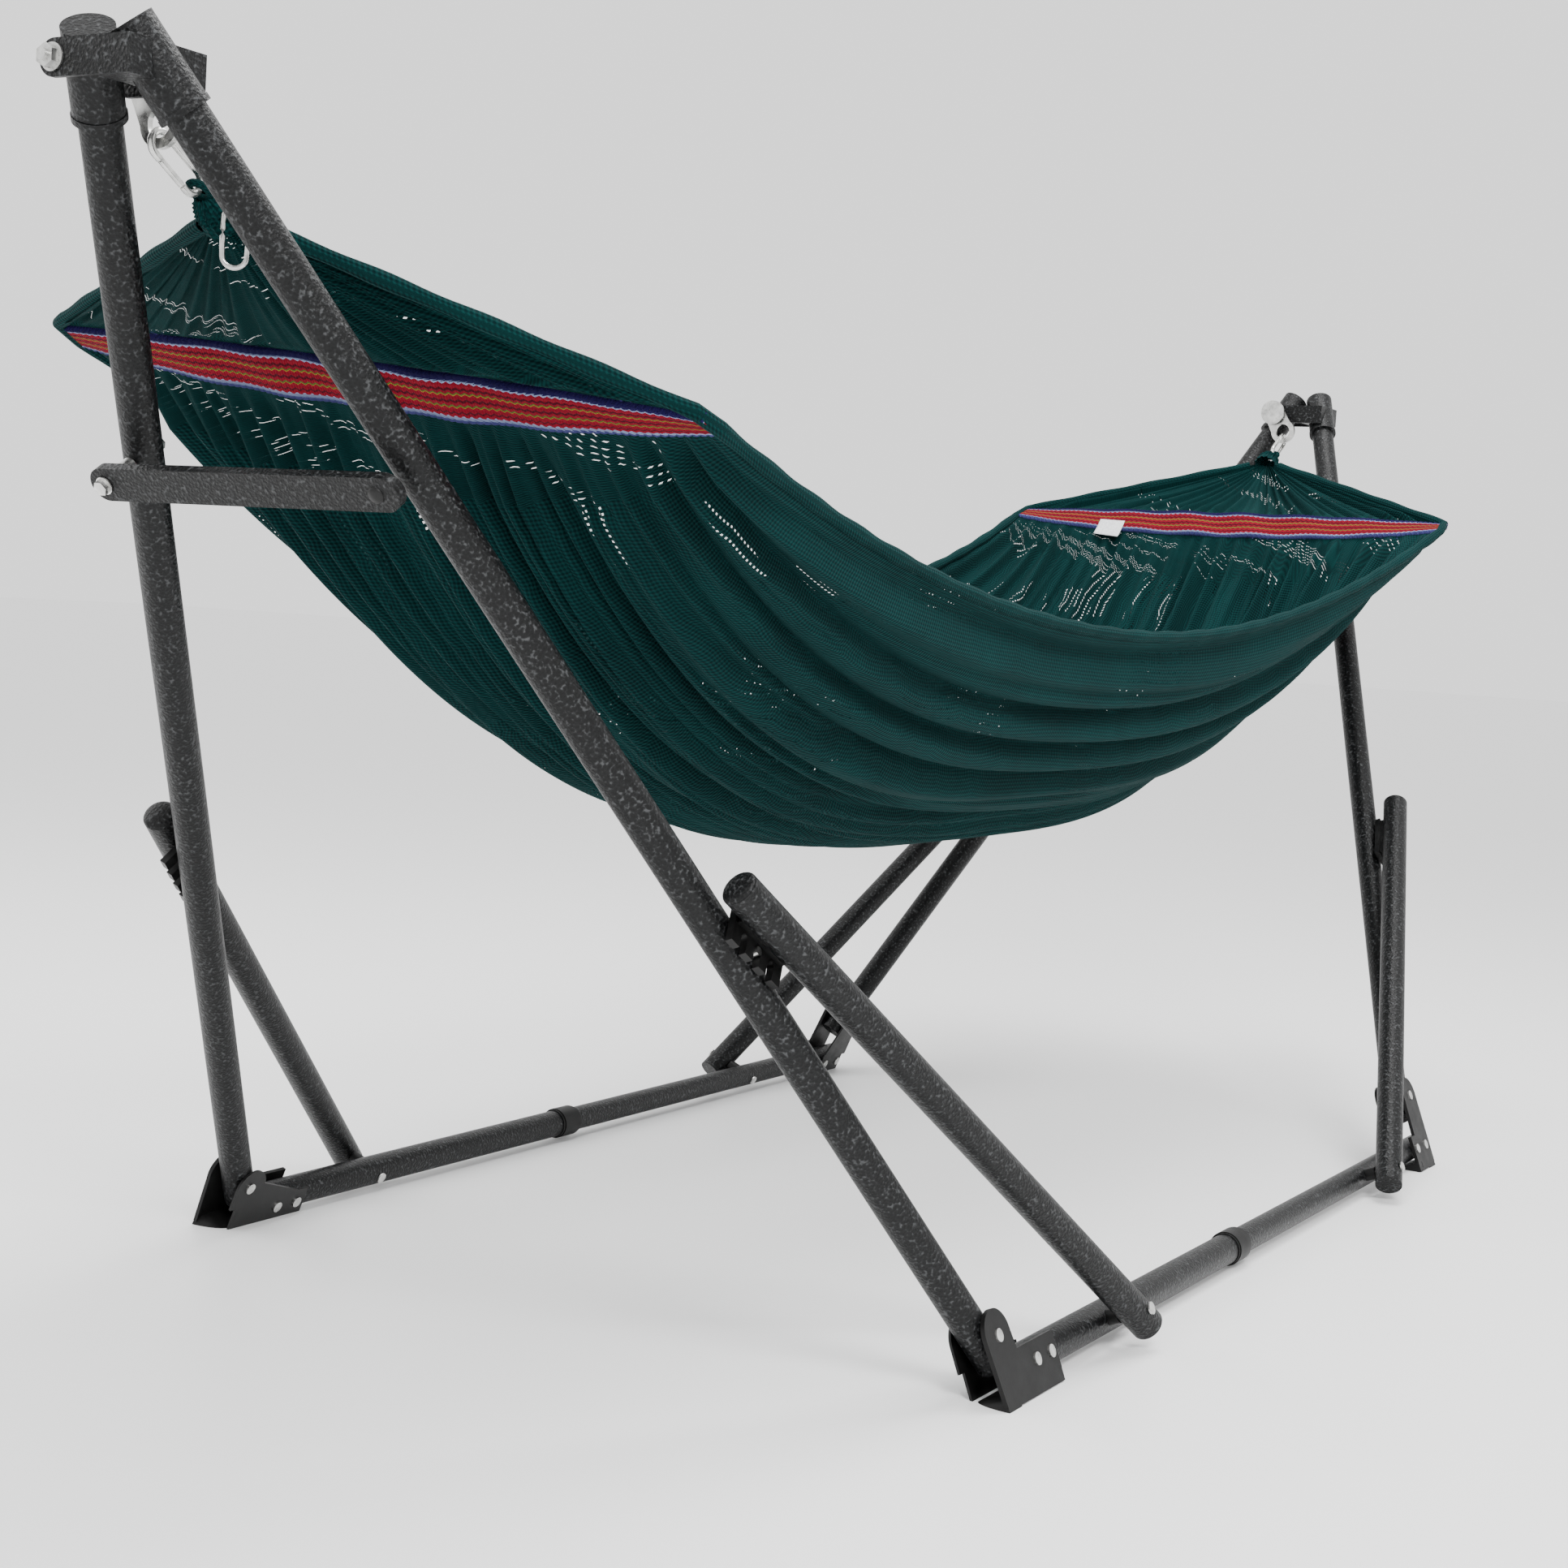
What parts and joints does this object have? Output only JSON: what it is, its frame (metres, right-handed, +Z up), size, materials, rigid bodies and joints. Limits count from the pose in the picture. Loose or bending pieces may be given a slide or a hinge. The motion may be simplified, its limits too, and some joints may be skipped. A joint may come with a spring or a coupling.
{
  "type": "hammock on stand",
  "caption": "Folding A-frame stand of round steel tubes holding a gathered knit hammock between two outward leaning masts.",
  "frame": {"origin": "on the floor, below the middle of the stand's box", "axes": "+X along the hammock towards the far mast, +Y to the left side frame, +Z up"},
  "size_m": [3.1614, 1.1794, 1.2577],
  "materials": {
    "hammertone_paint": "dark grey hammertone powder coat",
    "black_steel": "smooth satin black",
    "black_plastic": "moulded black plastic",
    "zinc_steel": "bright zinc plate",
    "teal_knit": "dark teal open knit",
    "woven_band": "red woven band with thin stripes"
  },
  "bodies": {
    "root": {"left_rail_near": "hammertone_paint", "left_rail_far": "hammertone_paint", "left_rail_collar": "black_plastic", "near_left_leg": "hammertone_paint", "far_left_leg": "hammertone_paint", "left_leg_caps": "hammertone_paint", "near_left_foot_plate": "black_steel", "far_left_foot_plate": "black_steel", "near_left_shoe": "black_plastic", "far_left_shoe": "black_plastic", "left_foot_rivets": "zinc_steel", "left_strut_bolts": "zinc_steel", "left_strut_spacers": "black_plastic", "left_leg_pins": "zinc_steel", "near_left_sleeve": "hammertone_paint", "far_left_sleeve": "hammertone_paint", "ridge_bolts": "zinc_steel", "eye_plates": "zinc_steel", "brace_bolts": "zinc_steel"},
    "right_frame": {"right_rail_near": "hammertone_paint", "right_rail_far": "hammertone_paint", "right_rail_collar": "black_plastic", "near_right_leg": "hammertone_paint", "far_right_leg": "hammertone_paint", "right_leg_caps": "hammertone_paint", "near_right_foot_plate": "black_steel", "far_right_foot_plate": "black_steel", "near_right_shoe": "black_plastic", "far_right_shoe": "black_plastic", "right_foot_rivets": "zinc_steel", "right_strut_bolts": "zinc_steel", "right_strut_spacers": "black_plastic", "right_leg_pins": "zinc_steel", "near_right_fork": "hammertone_paint", "far_right_fork": "hammertone_paint"},
    "near_brace": {"near_brace": "hammertone_paint"},
    "far_brace": {"far_brace": "hammertone_paint"},
    "hammock": {"near_carabiner": "zinc_steel", "far_carabiner": "zinc_steel", "near_gather_wrap": "teal_knit", "far_gather_wrap": "teal_knit", "near_end_panel": "teal_knit", "far_end_panel": "teal_knit", "near_band": "woven_band", "far_band": "woven_band", "hammock_bed": "teal_knit"},
    "near_gate": {"near_carabiner_gate": "zinc_steel"},
    "far_gate": {"far_carabiner_gate": "zinc_steel"},
    "near_left_strut": {"near_left_strut": "hammertone_paint", "near_left_strut_caps": "hammertone_paint", "near_left_hook_bracket": "black_steel"},
    "near_right_strut": {"near_right_strut": "hammertone_paint", "near_right_strut_caps": "hammertone_paint", "near_right_hook_bracket": "black_steel"},
    "far_left_strut": {"far_left_strut": "hammertone_paint", "far_left_strut_caps": "hammertone_paint", "far_left_hook_bracket": "black_steel"},
    "far_right_strut": {"far_right_strut": "hammertone_paint", "far_right_strut_caps": "hammertone_paint", "far_right_hook_bracket": "black_steel"}
  },
  "joints": [
    {"name": "frame_close", "type": "hinge", "parent": "root", "child": "right_frame", "pos_m": [0, 0.0346, 1.212], "axis": [1, 0, 0], "range_deg": [0, 40]},
    {"name": "hammock_swing", "type": "hinge", "parent": "root", "child": "hammock", "pos_m": [0, 0.015, 1.178], "axis": [1, 0, 0], "range_deg": [-20, 20]},
    {"name": "near_left_strut_fold", "type": "hinge", "parent": "root", "child": "near_left_strut", "pos_m": [-0.482, 0.56425, 0.04319], "axis": [0, 0.9265, 0.3762], "range_deg": [0, 22]},
    {"name": "near_right_strut_fold", "type": "hinge", "parent": "right_frame", "child": "near_right_strut", "pos_m": [-0.482, -0.56425, 0.04319], "axis": [0, 0.9265, -0.3762], "range_deg": [0, 22]},
    {"name": "far_left_strut_fold", "type": "hinge", "parent": "root", "child": "far_left_strut", "pos_m": [0.482, 0.56425, 0.04319], "axis": [0, -0.9265, -0.3762], "range_deg": [0, 22]},
    {"name": "far_right_strut_fold", "type": "hinge", "parent": "right_frame", "child": "far_right_strut", "pos_m": [0.482, -0.56425, 0.04319], "axis": [0, -0.9265, 0.3762], "range_deg": [0, 22]},
    {"name": "near_brace_fold", "type": "hinge", "parent": "root", "child": "near_brace", "pos_m": [-1.31755, 0.15959, 0.9042], "axis": [-0.8328, 0, -0.5536], "range_deg": [0, 66]},
    {"name": "far_brace_fold", "type": "hinge", "parent": "root", "child": "far_brace", "pos_m": [1.31081, 0.15959, 0.9042], "axis": [-0.8248, 0, 0.5654], "range_deg": [0, 66]},
    {"name": "near_gate_open", "type": "hinge", "parent": "hammock", "child": "near_gate", "pos_m": [-1.46016, 0.015, 1.1472], "axis": [0, -1, 0], "range_deg": [0, 20], "stiffness_Nm_per_rad": 0.05, "springref_deg": -11.46},
    {"name": "far_gate_open", "type": "hinge", "parent": "hammock", "child": "far_gate", "pos_m": [1.46016, 0.015, 1.1472], "axis": [0, 1, 0], "range_deg": [0, 20], "stiffness_Nm_per_rad": 0.05, "springref_deg": -11.46}
  ],
  "couplings": [
    {"joint": "near_right_strut_fold", "follows": "near_left_strut_fold", "ratio": 1},
    {"joint": "far_right_strut_fold", "follows": "far_left_strut_fold", "ratio": 1},
    {"joint": "near_brace_fold", "follows": "frame_close", "ratio": 1.65},
    {"joint": "far_brace_fold", "follows": "frame_close", "ratio": 1.65}
  ]
}
